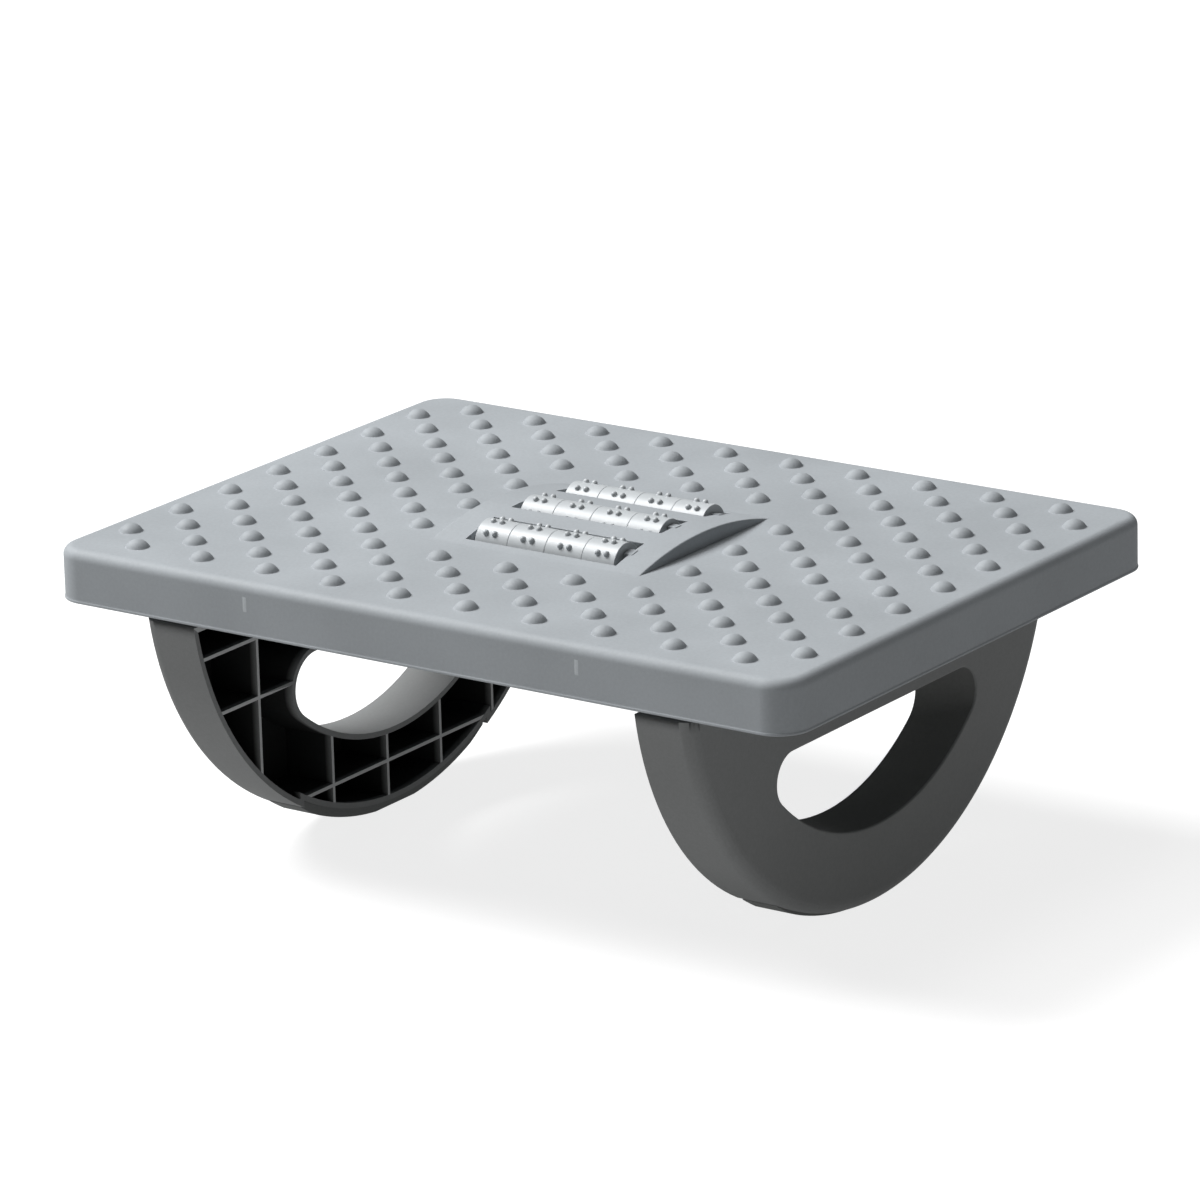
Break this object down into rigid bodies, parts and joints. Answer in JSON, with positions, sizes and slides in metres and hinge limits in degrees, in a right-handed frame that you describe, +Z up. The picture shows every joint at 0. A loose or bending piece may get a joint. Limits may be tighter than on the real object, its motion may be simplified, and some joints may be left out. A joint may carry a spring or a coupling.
{
  "type": "footrest",
  "caption": "Rocking under-desk foot rest: a studded rectangular plate on two D-shaped rockers, with a row of free-turning massage rollers in a low hump in its middle.",
  "frame": {"origin": "on the floor under the middle of the plate, with the plate level", "axes": "+X along the plate's long side, +Y from the user's near edge to the far edge, +Z up"},
  "size_m": [0.438, 0.3236, 0.1783],
  "materials": {
    "plate_plastic": "light cool grey ABS, finely grained",
    "rocker_plastic": "dark neutral grey polypropylene, finely grained",
    "tread_rubber": "dark grey, matt",
    "roller_plastic": "very light grey, semi-gloss",
    "retainer_plastic": "grey, finely grained",
    "screw_steel": "zinc plated"
  },
  "bodies": {
    "base": {"top_plate": "plate_plastic", "rocker_left": "rocker_plastic", "tread_left": "tread_rubber", "retainer_left": "retainer_plastic", "retainer_screws_left": "screw_steel", "rocker_screws_left": "screw_steel", "rocker_right": "rocker_plastic", "tread_right": "tread_rubber", "retainer_right": "retainer_plastic", "retainer_screws_right": "screw_steel", "rocker_screws_right": "screw_steel"},
    "roller_front": {"roller_core_front": "roller_plastic", "roller_ring_front_1": "roller_plastic", "roller_ring_front_2": "roller_plastic", "roller_ring_front_3": "roller_plastic", "roller_ring_front_4": "roller_plastic"},
    "roller_middle": {"roller_core_middle": "roller_plastic", "roller_ring_middle_1": "roller_plastic", "roller_ring_middle_2": "roller_plastic", "roller_ring_middle_3": "roller_plastic", "roller_ring_middle_4": "roller_plastic"},
    "roller_rear": {"roller_core_rear": "roller_plastic", "roller_ring_rear_1": "roller_plastic", "roller_ring_rear_2": "roller_plastic", "roller_ring_rear_3": "roller_plastic", "roller_ring_rear_4": "roller_plastic"}
  },
  "joints": [
    {"name": "roller_front_spin", "type": "hinge", "parent": "base", "child": "roller_front", "pos_m": [0, -0.0374, 0.1638], "axis": [1, 0, 0], "continuous": true},
    {"name": "roller_middle_spin", "type": "hinge", "parent": "base", "child": "roller_middle", "pos_m": [0, 0, 0.1662], "axis": [1, 0, 0], "continuous": true},
    {"name": "roller_rear_spin", "type": "hinge", "parent": "base", "child": "roller_rear", "pos_m": [0, 0.0374, 0.1638], "axis": [1, 0, 0], "continuous": true}
  ]
}
